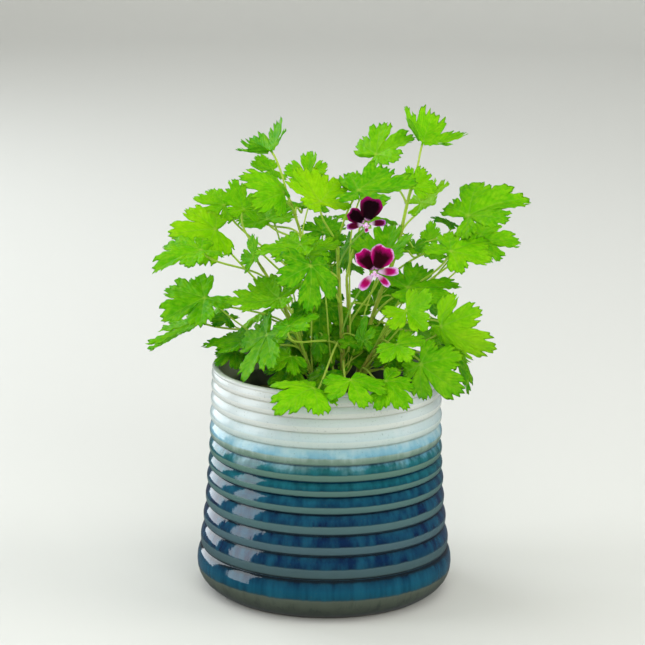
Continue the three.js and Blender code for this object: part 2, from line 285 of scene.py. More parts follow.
def revolve(profile, sides, marks=None):
    """A turned shell: each profile point (radius, height) becomes a ring. The first and
    last points are on the axis. UV is the turn, out and back, and the share of the way
    along the profile."""
    profile = np.asarray(profile, float)
    rings = turned(profile[1:-1, 0], profile[1:-1, 1], sides)
    steps = np.hypot(*np.diff(profile, axis=0).T)
    along = np.concatenate([[0], np.cumsum(steps)]) / steps.sum()
    turn = np.tile(np.abs(2 * np.arange(sides) / sides - 1), (len(rings), 1))
    uv = np.stack([turn, np.repeat(along[1:-1, None], sides, 1)], -1).reshape(-1, 2)
    uv = np.vstack([[0.5, 0], uv, [0.5, 1]])
    spread = {
        key: np.concatenate([values[:1], np.repeat(values[1:-1], sides), values[-1:]])
        for key, values in (marks or {}).items()
    }
    return stack((0, 0, profile[0, 1]), rings, (0, 0, profile[-1, 1]), uv, spread)


def unit(vectors):
    """The vectors, each one long."""
    return vectors / np.linalg.norm(vectors, axis=-1, keepdims=True)


def tube(path, radius, sides, aside, marks=None):
    """A round shell along a path.

    Round each path point goes a ring of the given radius, in the plane of two unit
    vectors: the tangent crossed with aside, and that crossed with the tangent.
    """
    path = np.asarray(path, float)
    tangent = unit(np.gradient(path, axis=0))
    across = unit(np.cross(tangent, aside))
    up = np.cross(across, tangent)
    angle = TURN * np.arange(sides) / sides
    radius = np.broadcast_to(radius, len(path))[:, None, None]
    round_ = across[:, None] * np.cos(angle)[:, None] + up[:, None] * np.sin(angle)[:, None]
    rings = path[:, None] + radius * round_
    along = np.repeat(np.linspace(0, 1, len(path)), sides)
    uv = np.stack([np.tile(angle / TURN, len(path)), along], -1)
    uv = np.vstack([[0, 0], uv, [0, 1]])
    spread = {key: np.full(len(uv), value) for key, value in (marks or {}).items()}
    return stack(path[0], rings, path[-1], uv, spread)


def lens(x, y, z, share, thickness, middle, to_place, pattern=None, heart=(0, 0)):
    """A thin closed shell on both sides of a surface of rings round its middle.

    The two faces are half the thickness times (1 - share^3) from the surface, with share
    from 0 at the middle to 1 at the edge. pattern is a pair of UV values a point, and
    heart the pair at the middle.
    """
    half = thickness / 2 * (1 - share**3)
    upper = np.stack([x, y, z + half], -1)
    lower = np.stack([x, y, z - half], -1)[:-1][::-1]
    start = to_place(np.array(middle) + (0, 0, thickness / 2))
    end = to_place(np.array(middle) - (0, 0, thickness / 2))
    uv = None
    if pattern is not None:
        below = pattern[:-1][::-1].reshape(-1, 2)
        uv = np.vstack([[heart], pattern.reshape(-1, 2), below, [heart]])
    return stack(start, to_place(np.vstack([upper, lower])), end, uv)


def about_z(degrees):
    """Turns row points about Z."""
    a = math.radians(degrees)
    return np.array([[math.cos(a), math.sin(a), 0], [-math.sin(a), math.cos(a), 0], [0, 0, 1]])


def wave(points, scale, seed):
    """A smooth pseudo-random height in -1 to 1: a mean of sines in turned directions."""
    points = np.asarray(points, float) / scale
    total = 0
    for k in range(7):
        turn = np.array(
            [math.sin(seed + 2.1 * k), math.cos(1.7 * seed + 1.3 * k), math.sin(0.6 * seed - k)]
        )
        total = total + np.sin(points @ turn * (1.4 + 0.5 * k) * 3 + seed * (k + 1))
    return total / 7


# ---------- cover pot ----------
POT_HEIGHT = 161
FOOT_RADIUS = 75
BULGE_RADIUS = 90
RIM_RADIUS = 80
RIM_INNER = 75
FLOOR = 10
CREST = 0.4

# The grooves from the lip down: height, radius in the groove, radius of the rib under it.
GROOVES = [
    (158.5, 79.4, 80.4), (151.5, 78.9, 80.7), (143, 78.8, 81), (133, 78.8, 81.4),
    (122, 79, 81.7), (110, 79.2, 82), (98.5, 79.5, 82.5), (88, 80, 83.5),
    (76, 81, 84.3), (61.5, 82.4, 85.8), (47.3, 84, 87.6), (31, 86.4, BULGE_RADIUS),
]


def rib(high, low, steps=15):
    """A rib's outline from its upper groove down to its lower one.

    With t from 1 at the top to 0 at the bottom, the radius falls away from the crest as
    a power of the distance from it: gently towards the top, and as a quarter round
    towards the bottom.
    """
    t = 0.5 + 0.5 * np.cos(np.linspace(0.2, math.pi, steps))
    above = ((t - CREST) / (1 - CREST)).clip(0, 1)
    below = ((CREST - t) / CREST).clip(0, 1)
    crest = high[2]
    radius = np.where(
        t > CREST,
        crest - (crest - high[1]) * above**1.9,
        low[1] + (crest - low[1]) * np.sqrt(1 - below**2.2),
    )
    return np.stack([radius, low[0] + t * (high[0] - low[0])], -1), t


def cover_pot_shell():
    """The pot's outline: floor, inside wall, rim, ribs and foot, turned round the axis."""
    inside = [(0, FLOOR), (40, FLOOR), (70, FLOOR + 0.3), (75.5, FLOOR + 2)]
    inside += [(80.6, 17), (81.5, 22), (81.2, 30), (79.5, 45), (77.6, 70), (75.9, 92)]
    inside += [(RIM_INNER, 110), (RIM_INNER, 135), (RIM_INNER, 157)]
    rim = [(75.2, 159.4), (75.9, 160.5), (76.9, POT_HEIGHT), (78, POT_HEIGHT), (79.2, 160.6)]
    rim += [(RIM_RADIUS, 159.7), (79.9, 159)]
    outline = [inside + rim]
    phase = [np.full(len(inside + rim), 0.7)]
    within = [np.r_[np.ones(len(inside)), np.linspace(1, 0, len(rim))]]
    for high, low in zip(GROOVES, GROOVES[1:]):
        points, t = rib(high, low)
        outline.append(points)
        phase.append(t)
        within.append(np.zeros(len(t)))
    foot = [(86.6, 30.8), (87.8, 29.6), (88.9, 27.5), (89.7, 24.2), (BULGE_RADIUS, 20), (89.6, 16)]
    foot += [(88.6, 12.6), (87, 9.4), (84.6, 6.4), (82, 4.1), (79, 2), (76.6, 0.6)]
    foot += [(FOOT_RADIUS, 0), (66, 0), (64, 1.2), (30, 1.2), (0, 1.2)]
    outline.append(foot)
    heights = [z for r, z in foot]
    phase.append(np.interp(heights, [0, 9, 16, 18, 21, 27, 30.8], [0.2, 0.3, 0.4, 0.5, 0.64, 0.86, 1]))
    within.append(np.zeros(len(foot)))
    marks = {"rib_phase": np.concatenate(phase), "inside": np.concatenate(within)}
    return revolve(np.vstack(outline), 224, marks)


def glaze():
    """Reactive glaze: pale at the rim, running through light blue to deep blue, and khaki
    on each crest, partly the glaze breaking thin there and partly a painted reflection
    of a wooden table. Height picks the pair of colours and the place within the rib
    picks between them, both shaken by noise. The place within the rib also paints
    light and shade across each rib, and painted shade in its grooves and under its crest."""
    material, tree, shader = finish("reactive_glaze", IOR=1.5)
    vector = place(tree)
    z = parts(vector)[2]
    mottle = noise(vector, 45, 4)
    runs = noise(stretched(vector, (150, 150, 22)), 1, 4)
    speck = noise(vector, 900, 2)
    height = calc("DIVIDE", times_plus(minus(runs, 0.5), 0.012, z), POT_HEIGHT * MM)
    deep = ramp(
        height,
        (0, (8, 32, 40)), (0.1, (0, 67, 88)), (0.2, (0, 33, 66)),
        (0.42, (0, 30, 66)), (0.53, (0, 50, 76)), (0.6, (3, 74, 83)),
        (0.665, (27, 90, 94)), (0.69, (101, 151, 171)), (0.73, (122, 167, 185)),
        (0.77, (172, 193, 198)), (0.84, (192, 203, 205)), (1, (202, 206, 205)),
    )
    # The crest colours: khaki, partly the glaze breaking thin on each crest and partly a painted
    # reflection of a wooden table under the pot.
    crest = ramp(
        height,
        (0, (42, 48, 39)), (0.1, (76, 85, 73)), (0.2, (61, 85, 89)),
        (0.32, (67, 93, 101)), (0.58, (78, 112, 106)), (0.66, (86, 119, 106)),
        (0.7, (108, 134, 120)), (0.76, (176, 193, 190)), (0.84, (200, 206, 202)),
        (1, (205, 206, 201)),
    )
    phase = attribute(tree, "rib_phase")
    # bare is the share of the khaki crest colour, partly painted table reflection, on each crest and the
    # rib's underside.
    loose = times_plus(minus(runs, 0.5), 0.08, phase)
    bare = span(loose, 0.42, 0.5, 1, 0, smooth=True)
    # Painted light and shade across each rib, laid over the blue low on the pot: darker near the crest
    # and under the groove above, brightest in the middle of the blue slope.
    painted_rib_light = ramp(
        phase,
        (0.42, (0.3, 0.3, 0.34, 1)), (0.56, (0.7, 0.7, 0.74, 1)), (0.72, (1, 1, 1, 1)),
        (0.86, (0.7, 0.7, 0.76, 1)), (0.97, (0.25, 0.25, 0.3, 1)),
    )
    deep = mix(span(height, 0.62, 0.74, 0.9, 0), deep, painted_rib_light, "MULTIPLY")
    fleck = times(span(runs, 0.36, 0.66), span(height, 0.8, 0.7, 0, 0.5))
    flecked = mix(0.24, deep, (60, 170, 196))
    cloud = times(span(mottle, 0.5, 0.66), span(height, 0.64, 0.72))
    cloud = times(cloud, span(height, 0.8, 0.76, 0, 0.6))
    # The dark line along each groove, at the top of the rib under it and under the crest above it:
    # partly glaze pooled in the groove and partly painted shade there and under the crest's overhang.
    above = span(phase, 0.9, 0.98, smooth=True)
    below = span(phase, 0.03, 0.13, 1, 0, smooth=True)
    pooled_and_shaded = times(calc("MAXIMUM", above, below), span(height, 0.64, 0.76, 0.95, 0.4))
    line = ramp(
        height,
        (0, (16, 22, 20)), (0.5, (0, 16, 34)), (0.66, (0, 50, 74)),
        (0.78, (146, 154, 130)), (1, (170, 162, 132)),
    )
    drips = noise(stretched(vector, (330, 330, 40)), 1, 3)
    drips = times(span(drips, 0.52, 0.62), span(height, 0.13, 0.05))
    # The inside wall, greyer and darker than the rim's glaze: partly its own glaze and partly painted
    # shade inside the pot.
    wall = mix(mottle, (150, 152, 132), (176, 180, 160))
    foot = span(z, 0.0, 0.004, 1, 0)
    colour = tinted(
        deep,
        (fleck, flecked),
        (cloud, (176, 200, 198)),
        (bare, crest),
        (pooled_and_shaded, line),
        (times(drips, 0.5), (24, 36, 32)),
        (times(span(speck, 0.64, 0.72), 0.35), (60, 76, 66)),
        (attribute(tree, "inside"), wall),
        (foot, (92, 84, 70)),
    )
    rough = calc("ADD", span(bare, 0, 1, 0.03, 0.3), span(height, 0.7, 0.8, 0, 0.16))
    rough = calc("MAXIMUM", times_plus(mottle, 0.04, rough), times(foot, 0.8))
    relief = times_plus(runs, 0.6, times(mottle, 0.6))
    coat(shader, colour, rough, bump(relief, 0.0006, 0.5))
    return material


pot = piece("cover_pot_glazed", [cover_pot_shell()], glaze())
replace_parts(pot, "cover_pot")


# ---------- nursery pot and soil ----------
NURSERY_FOOT = 10.3
SOIL_TOP = 138


def moulded_plastic():
    """Dull dark plastic with patches of dust."""
    material, tree, shader = finish("moulded_plastic")
    vector = place(tree)
    dust = noise(vector, 90, 5)
    colour = mix(span(dust, 0.4, 0.75), (48, 54, 46), (92, 94, 78))
    coat(shader, colour, span(dust, 0.3, 0.8, 0.35, 0.7), bump(noise(vector, 700), 0.0002, 0.3))
    return material


def nursery_pot_shell():
    """A thin tapering wall with a rolled lip, turned round the axis."""
    outline = [(0, 11.5), (46, 11.5), (50.4, 12.4), (57, 74), (63.6, 137), (63.8, 144.4)]
    outline += [(64.2, 145.6), (65, 146), (66, 145.9), (66.8, 145.2), (67, 144.2)]
    outline += [(67, 139), (66.6, 138.2), (65.6, 138.1), (65, 137.6), (58.6, 74)]
    outline += [(52.3, 12.3), (51.4, 10.5), (46, NURSERY_FOOT), (0, NURSERY_FOOT)]
    return revolve(outline, 128)


pot_in = piece("nursery_pot_plastic", [nursery_pot_shell()], moulded_plastic())
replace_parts(pot_in, "nursery_pot")


def compost():
    """Moist compost: crumbs, green damp patches and pale fibres."""
    material, tree, shader = finish("compost")
    vector = place(tree)
    crumbs = noise(vector, 260, 6, 0.65)
    damp = noise(vector, 40, 2)
    fibre = noise(stretched(vector, (300, 60, 200)), 1.2, 4)
    colour = mix(span(crumbs, 0.35, 0.65), (58, 46, 28), (128, 104, 64))
    colour = tinted(colour, (times(damp, 0.5), (74, 84, 40)), (span(fibre, 0.66, 0.72), (140, 112, 76)))
    coat(shader, colour, span(damp, 0.3, 0.7, 0.75, 1), bump(crumbs, 0.0015, 0.9))
    return material


def soil_shell():
    """A plug of soil: its top rises and falls by two scales of wave, less at the wall."""
    radius = np.r_[np.linspace(2, 60, 34), 62]
    middle = (0, 0, SOIL_TOP - 0.6)
    flat = turned(radius, 0 * radius, 110)
    fall = np.interp(radius, [0, 52, 62], [0, 0.4, 3.2])[:, None]
    lumps = 0.9 * wave(flat, 17, 3) + 0.8 * wave(flat, 5, 8) + 0.5 * wave(flat, 2.4, 5)
    top = flat.copy()
    top[..., 2] = middle[2] - fall + lumps * np.interp(radius, [52, 62], [1, 0.2])[:, None]
    side = np.repeat(top[-1:], 3, axis=0)
    side[:, :, :2] *= (np.array([61.6, 56, 50]) / 62)[:, None, None]
    side[:, :, 2] = np.array([132, 74, 12])[:, None]
    return stack(middle, np.vstack([top, side]), (0, 0, 12))


soil = piece("soil_crumbly", [soil_shell()], compost())
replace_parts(soil, "soil")


# ---------- stems ----------
SOIL_LINE = 138.9
LEFT, CENTRE, RIGHT = (-6, -6, SOIL_LINE), (9, -9, SOIL_LINE), (20, -2, SOIL_LINE)

# Each branch of the left, centre and right stems: its radius at the soil, and the points
# that it goes through.
BRANCHES = {
    "l0": (1.7, LEFT, (-12, -8, 160), (-24, -8, 191), (-37, -8, 217), (-50, -8, 238)),
    "l1": (1.6, LEFT, (-6, 2, 170), (-12, 5, 215), (-18, 5, 249), (-27, 5, 277)),
    "c0": (2, CENTRE, (11, -12, 160), (10, -12, 189), (8, -12, 217), (6, -10, 254)),
    "c1": (1.6, CENTRE, (13, 0, 160), (15, 5, 185), (13, 6, 224)),
    "r0": (1.8, RIGHT, (24, 8, 165), (36, 8, 208), (47, 5, 240), (54, 5, 274), (60, 5, 300)),
    "r1": (1.6, RIGHT, (24, -14, 160), (40, -25, 189)),
}


def smooth_line(points, count=61):
    """Evenly spaced points along a smooth line through the given ones.

    Between two points the line is a cubic whose end slopes come from their neighbours,
    with knots spaced by the square root of the distance between points.
    """
    given = np.array(points, float)
    full = np.vstack([2 * given[0] - given[1], given, 2 * given[-1] - given[-2]])
    gap = np.sqrt(np.linalg.norm(np.diff(full, axis=0), axis=1))[:, None]
    slope = np.diff(full, axis=0) / gap
    joint = (full[2:] - full[:-2]) / (gap[:-1] + gap[1:])
    tangent = slope[:-1] - joint + slope[1:]
    t = np.linspace(0, 1, 60)[:, None, None]
    a, b = given[:-1], given[1:]
    start, end = tangent[:-1] * gap[1:-1], tangent[1:] * gap[1:-1]
    line = a + t * (start + t * (3 * (b - a) - 2 * start - end + t * (2 * (a - b) + start + end)))
    line = line.transpose(1, 0, 2).reshape(-1, 3)
    far = np.concatenate([[0], np.cumsum(np.linalg.norm(np.diff(line, axis=0), axis=1))])
    even = np.linspace(0, far[-1], count)
    return np.stack([np.interp(even, far, line[:, k]) for k in range(3)], -1)


STEM_LINES = {name: smooth_line(points) for name, (radius, *points) in BRANCHES.items()}


def bark():
    """Young woody stem: green over brown, with lengthwise streaks."""
    material, tree, shader = finish("young_bark")
    vector = place(tree)
    streak = noise(stretched(vector, (420, 420, 60)), 1, 4)
    age = span(parts(vector)[2], 0.14, 0.24)
    colour = mix(age, (150, 134, 62), (172, 204, 56))
    colour = mix(span(streak, 0.4, 0.8), colour, (112, 124, 40))
    coat(shader, colour, span(streak, 0.3, 0.7, 0.45, 0.75), bump(streak, 0.0005, 0.8))
    return material


BARK = bark()
for side in ("left", "centre", "right"):
    shells = []
    for name in (f"{side[0]}0", f"{side[0]}1"):
        line = STEM_LINES[name]
        share = np.linspace(0, 1, len(line))
        joints = np.exp(-(((share * 6 % 1) - 0.5) ** 2) / 0.006)
        radius = BRANCHES[name][0] * (0.9 - 0.32 * share + 0.13 * joints)
        radius[-3:] *= (0.95, 0.75, 0.4)
        shells.append(tube(line, radius, 14, (0, 1, 0)))
    stem = piece(f"stem_{side}_bark", shells, BARK)
    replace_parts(stem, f"stem_{side}")


# ---------- leaves ----------
# Five toothed lobes round the top of the stalk: bearing in degrees and length.
LOBES = [(-112, 0.64), (-56, 0.86), (0, 1), (56, 0.86), (112, 0.64)]
LOBE_STEP = 56
LOBE_HALF = 28.5
LOBE_OUTER = 38
NOTCH = 0.48
STALK_NOTCH = 0.12
TEETH = 0.06
TOOTH_RATE = 4
CLEFT = 0.11
LEAST_RADIUS = 0.1


def wobble(seed, k):
    """A number in -1 to 1 that changes from leaf to leaf, always the same for a seed."""
    return math.sin(seed * 2.3 + k * 1.7)


def outline(seed):
    """A leaf's edge: bearings, radius as a share of the size, and even bearings.

    At a bearing the radius is the longest of the lobes there. A lobe is a wedge: its
    radius is its length, times a broad rounded front that drops to the notch at its
    sides, less a triangle wave of teeth and a deeper cleft on each side of its middle.
    The even bearings put every lobe's middle at a multiple of the lobe step, for the
    veins.
    """
    middles = np.array([b + 4 * wobble(seed, k) for k, (b, l) in enumerate(LOBES)])
    lengths = np.array([l * (1 + 0.07 * wobble(seed, k + 7)) for k, (b, l) in enumerate(LOBES)])
    between = (middles[1:] + middles[:-1]) / 2
    ends = np.r_[middles[0] - LOBE_OUTER, between, middles[-1] + LOBE_OUTER]
    tooth = LOBE_HALF / TOOTH_RATE
    bearings, even = [], []
    for k, middle in enumerate(middles):
        low, high = ends[k] - middle, ends[k + 1] - middle
        reach = (TOOTH_RATE - 1) * tooth
        offsets = np.r_[
            np.linspace(low, -reach, 15 if k == 0 else 8)[:-1],
            np.linspace(-reach, reach, 37),
            np.linspace(reach, high, 15 if k == 4 else 8)[1 : None if k == 4 else -1],
        ]
        wide = np.where(offsets < 0, -low, high)
        nominal = np.where(np.isclose(wide, LOBE_OUTER), LOBE_OUTER, LOBE_STEP / 2)
        bearings.append(middle + offsets)
        even.append(LOBES[k][0] + offsets / wide * nominal)
    bearings, even = np.concatenate(bearings), np.concatenate(even)
    bearings = np.r_[bearings, np.linspace(bearings[-1], bearings[0] + 360, 8)[1:-1]]
    even = np.r_[even, np.linspace(even[-1], even[0] + 360, 8)[1:-1]]

    off = (bearings[:, None] - middles + 180) % 360 - 180
    beside = np.zeros(off.shape, bool)
    beside[:, 0] = off[:, 0] < 0
    beside[:, -1] = off[:, -1] > 0
    share = np.abs(off) / np.where(beside, LOBE_OUTER, LOBE_HALF)
    low = np.where(beside, STALK_NOTCH, NOTCH)
    front = low + (1 - low) * (1 - share.clip(0, 1) ** 4.5) ** 0.6
    front = front * (1 - 0.1 * share**2)
    teeth = 2 * np.abs(TOOTH_RATE * share - np.round(TOOTH_RATE * share))
    uneven = 1 + 0.35 * np.sin(bearings / 5 + seed)[:, None]
    cut = TEETH * teeth * uneven + CLEFT * np.exp(-(((share - 0.375) / 0.1) ** 2))
    cut = cut * ((front - LEAST_RADIUS) / (1 - LEAST_RADIUS)).clip(0)
    radius = np.where(share > 1, 0, lengths * front * (1 - cut)).max(axis=1)
    return bearings, radius.clip(LEAST_RADIUS), even


RINGS = 13
BLADE = 0.5

# The blade's relief: the first two are slopes, the others shares of the leaf's size.
VALLEY = 0.26
RIDGE = 0.13
RIPPLE = 0.042
CRINKLE = 0.018
DROOP = 0.05


def blade_shell(size, curl, fold, seed, tone_and_light, to_place):
    """A leaf blade, thin and closed, thickest at its middle and sharp at its edge.

    Points run out from the stalk along each bearing b to the outline, at r. The height
    is curl r^2 / size + fold |v|, plus a valley along every lobe's midrib (a share of
    the sideways distance from it) less a ridge between lobes, a droop at the lobes' ends,
    and a crinkle and a ripple, both sines, that grow towards the edge.
    """
    bearings, radius, even = outline(seed)
    share = np.linspace(0, 1, RINGS + 1)[1:, None] ** 0.9
    b = np.radians(bearings)
    r = share * radius * size
    u, v = r * np.cos(b), r * np.sin(b)
    off = np.radians((even + LOBE_STEP / 2) % LOBE_STEP - LOBE_STEP / 2)
    aside = np.abs(r * np.sin(off))
    valley = np.sqrt(aside**2 + 0.3) * (VALLEY + 0.07 * wobble(seed, 3))
    ridge = np.sqrt((r * np.sin(math.radians(LOBE_STEP / 2))) ** 2 + 0.3) * RIDGE
    ripple = np.sin(3.5 * b + seed) * (0.6 + 0.4 * np.sin(9 * b + 2 * seed))
    crinkle = CRINKLE * size * share * np.sin(r * 0.9 + 11 * b + seed)
    rise = curl * r * r / size + fold * np.abs(v) + valley - ridge + crinkle
    rise = rise + RIPPLE * size * share**2 * ripple - DROOP * size * share**4
    flat = np.radians(even)
    pattern = np.stack([share * radius * np.cos(flat), share * radius * np.sin(flat)], -1)
    points, faces, uv, _ = lens(u, v, rise, share, BLADE, (0, 0, 0), to_place, pattern)
    under = (np.arange(len(uv)) > r.size).astype(float)
    marks = {"under": under, "tone_and_light": np.full(len(uv), tone_and_light), "stalk": np.zeros(len(uv))}
    return points, faces, uv, marks


def leaf_frame(at, heading, pitch, roll):
    """The blade's own axes as rows, from its heading, pitch and roll in degrees, and the
    function that carries points from the blade's frame to the object's."""
    h, p, r = np.radians([heading, pitch, roll])
    forward = np.array([math.cos(p) * math.cos(h), math.cos(p) * math.sin(h), math.sin(p)])
    left = np.array([-math.sin(h), math.cos(h), 0])
    up = np.cross(forward, left)
    axes = np.array(
        [forward, math.cos(r) * left + math.sin(r) * up, math.cos(r) * up - math.sin(r) * left]
    )
    return axes, lambda points: points @ axes + np.array(at, float)


def stalk_line(branch, along, target, arrival, count=26):
    """A stalk as a cubic Bezier curve: up and out from its branch, in along arrival."""
    line = STEM_LINES[branch]
    far = along * (len(line) - 1)
    root = np.array([np.interp(far, np.arange(len(line)), line[:, k]) for k in range(3)])
    out = unit((target - root) * (1, 1, 0))
    start = root + out * BRANCHES[branch][0] * 0.6
    reach = np.linalg.norm(target - start)
    second = start + (0.45 * out + (0, 0, 0.9)) * 0.3 * reach
    third = target - arrival * 0.3 * reach
    t = np.linspace(0, 1, count)[:, None]
    line = (1 - t) ** 3 * start + 3 * (1 - t) ** 2 * t * second
    return line + 3 * (1 - t) * t * t * third + t**3 * target


def stalk_shell(line, thick, tone_and_light):
    """A leaf stalk: thicker at both ends, with its sides round."""
    chord = line[-1] - line[0]
    aside = unit(np.cross(chord, (0.05, 0.02, 1)))
    share = np.linspace(0, 1, len(line))
    radius = thick * (0.85 + 0.35 * np.exp(-share * 14) + 0.15 * np.exp((share - 1) * 14))
    return tube(line, radius, 9, aside, {"under": 0, "tone_and_light": tone_and_light, "stalk": 1})


# Each leaf: the point where its blade meets the stalk; heading, pitch and roll of the
# middle lobe, in degrees; size, curl and fold of the blade; the branch that carries it
# and how far along that branch its stalk starts.
LEAVES = [
    (-41, 20, 309, 107, -21, -25, 28, 0.65, 0.24, "l1", 0.98),
    (-40, 48, 290, 210, 10, -28, 20, 0.18, 0, "l1", 0.95),
    (-31, -25, 288, 206, 45, -44, 28, -0.39, -0.14, "l1", 0.93),
    (-6, -40, 285, 124, 26, 9, 35, 0.25, 0.09, "c0", 0.95),
    (-15, 55, 283, 82, 59, -18, 22, 0.11, 0.12, "l1", 0.8),
    (-59, 0, 271, 109, 44, 20, 24, 0.12, 0, "l1", 0.45),
    (-74, 40, 265.6, 178, 15, -23, 24, 0, 0, "l1", 0.5),
    (-79, 12, 254, 209, 8, -41, 34, -0.18, 0, "l0", 0.5),
    (-87, -26, 247, 202, -3, -10, 34, -0.27, 0.37, "l0", 0.8),
    (-85, -15, 211, 203, -20, -20, 37, -0.05, 0.2, "l0", 0.45),
    (-91, 25, 185, 212, -28, 13, 42, 0.21, 0.09, "l0", 0.3),
    (-33, -48, 219, 161, -16, -12, 39, 0.3, 0.05, "l0", 0.3),
    (-51, -26, 242, 90, 46, -65, 20, 0.25, 0.05, "l0", 0.97),
    (-19, -42, 255, 176, -8, -11, 31, 0.02, 0.08, "l1", 0.8),
    (-43, 28, 258, 103, 9, -8, 34, 0.09, 0.13, "l1", 0.75),
    (-12, -66, 246, 280, -50, -23, 32, -0.3, 0, "c0", 0.6),
    (-15, -30, 246, 5, 24, 22, 24, 0, 0.05, "c0", 0.75),
    (16, 35, 241, -126, -63, 26, 24, -0.2, 0, "c1", 0.98),
    (38, -15, 242, 73, 24, -13, 32, 0.25, 0.19, "c1", 0.6),
    (65, 12, 318, 91, -4, 28, 33, 0.65, 0.2, "r0", 0.99),
    (33, 30, 305, -8, 37, 33, 32, -0.19, 0.42, "r0", 0.85),
    (20, -35, 292, -1, 1, 17, 39, 0.18, 0.09, "c0", 0.99),
    (58, -5, 289, 69, 27, 47, 19, 0.3, 0.19, "r0", 0.93),
    (65, 32, 271, -5, 31, 16, 26, 0.26, 0, "r0", 0.72),
    (97, 5, 267, 11, 29, 21, 42, -0.26, 0.37, "r0", 0.5),
    (84, -25, 248.5, 34, 18, 19, 33, -0.04, 0, "r0", 0.34),
    (106, 50, 241, 7, 0, 24, 33, -0.03, 0.05, "r0", 0.22),
    (73, 60, 238, 119, 95, 11, 14, 0.01, 0.02, "r0", 0.55),
    (55, -22, 222, 14, 0, 14, 41, 0.12, 0.07, "r1", 0.35),
    (53, -70, 217, -51, -28, 44, 25, 0.26, 0.43, "r1", 0.9),
    (77, -60, 204, -44, -25, 95, 34, -0.44, -0.19, "r1", 0.98),
    (47, -80, 196, -64, -17, 25, 23, 0.08, -0.01, "r1", 0.8),
    (64, -62, 178, -38, -33, 75, 31, -0.35, 0, "r1", 0.7),
    (40, -78, 170, -45, -28, 17, 26, -0.13, 0.05, "r1", 0.35),
    (16, -88, 173, -68, -17, 3, 29, -0.15, 0, "c0", 0.2),
    (-9, -92, 168, 230, 4, -16, 34, -0.24, 0.05, "c0", 0.34),
    (-25, -42, 177, 229, -9, -27, 20, -0.17, 0, "l0", 0.2),
    (-41, -45, 192.6, 205, -54, -3, 37, 0, 0.05, "l0", 0.4),
    (-56, -14, 181, 170, -6, -7, 31, 0.02, 0.05, "l0", 0.32),
    (-26, -78, 207, -1, 21, 7, 25, 0.06, 0.05, "c0", 0.3),
    (25, -40, 188, 90, 74, -60, 18, -0.05, -0.01, "c0", 0.4),
    (-6, -26, 184, -110, -73, 34, 15, -0.07, -0.06, "l1", 0.3),
]

# How light and yellow each of those leaves is, 0 a full dark green, 1 a bright yellow
# green: partly the leaf's own colour and partly painted light, brighter where the leaf
# is lit and darker where it is in shade.
TONES_AND_LIGHT = [0.35, 0.6, 0.6, 0.85, 0.6, 0.6, 0.65, 0.8, 0.5, 0.45, 0.5, 0.6, 0.45, 0.6]
TONES_AND_LIGHT += [0.5, 0.25, 0.65, 0.2, 0.45, 0.6, 0.6, 0.35, 0.65, 0.85, 0.5, 0.6, 0.55, 0.6]
TONES_AND_LIGHT += [0.4, 0.7, 0.75, 0.65, 0.5, 0.5, 0.5, 0.6, 0.45, 0.4, 0.4, 0.4, 0.4, 0.25]

# The smaller leaves inside the crown, and the leaves at its back: the same numbers.
INNER_LEAVES = [
    (84, 20, 188, 300, -25, 10, 22, -0.1, 0.05, "r0", 0.42),
    (-5, 8, 205, 262, -45, -5, 29, -0.15, 0.05, "l1", 0.45),
    (17, 14, 193, 285, -40, 10, 26, -0.2, 0, "c1", 0.5),
    (33, 16, 202, 75, 42, 0, 24, 0, 0.05, "c1", 0.75),
    (2, 2, 180, 250, -35, -10, 24, -0.2, 0.05, "c0", 0.3),
    (41, 4, 185, 300, -35, 10, 24, -0.2, 0, "r1", 0.45),
    (26, -6, 175, 90, 50, 5, 19, 0, 0.05, "c0", 0.2),
    (-19, 12, 184, 222, -20, -10, 27, -0.15, 0, "l0", 0.25),
    (49, -14, 174, 320, -25, 15, 22, -0.2, 0, "r1", 0.3),
    (0, -45, 167, 240, -30, -5, 20, -0.3, 0, "c0", 0.12),
    (5, -22, 253, 95, 38, 0, 11, 0.1, 0.1, "c0", 0.9),
    (60, 2, 245, 50, 25, 0, 13, 0.1, 0.05, "r0", 0.72),
    (84, -22, 178, -30, -27, -14, 28, -0.5, 0.2, "r1", 0.6),
    (15, -30, 183, 95, 30, 0, 11, 0, 0.1, "c0", 0.25),
    (-64, -8, 170, 215, -10, -10, 18, -0.2, 0, "l0", 0.12),
    (-25, -30, 167, 235, -20, -15, 22, -0.2, 0, "l0", 0.15),
    (-4, 25, 250, 95, 32, 0, 22, -0.05, 0.05, "l1", 0.6),
    (86, 20, 258, 150, 20, 10, 17, -0.05, 0.05, "r0", 0.62),
    (32, 10, 165, 80, 42, 0, 21, 0, 0.05, "c1", 0.25),
    (18, -5, 164, 100, 40, 5, 18, 0, 0.05, "c0", 0.12),
    (41, -25, 170, 70, 40, -5, 17, 0, 0.05, "r1", 0.3),
    (-17, 0, 163, 110, 40, 5, 20, 0, 0.05, "l0", 0.15),
    (-64, 15, 166, 205, 5, -15, 17, -0.1, 0.05, "l0", 0.22),
    (-70, 30, 186, 175, 15, -15, 18, -0.1, 0.05, "l0", 0.35),
    (5, 48, 226, 90, 30, 0, 19, -0.05, 0.05, "l1", 0.65),
]
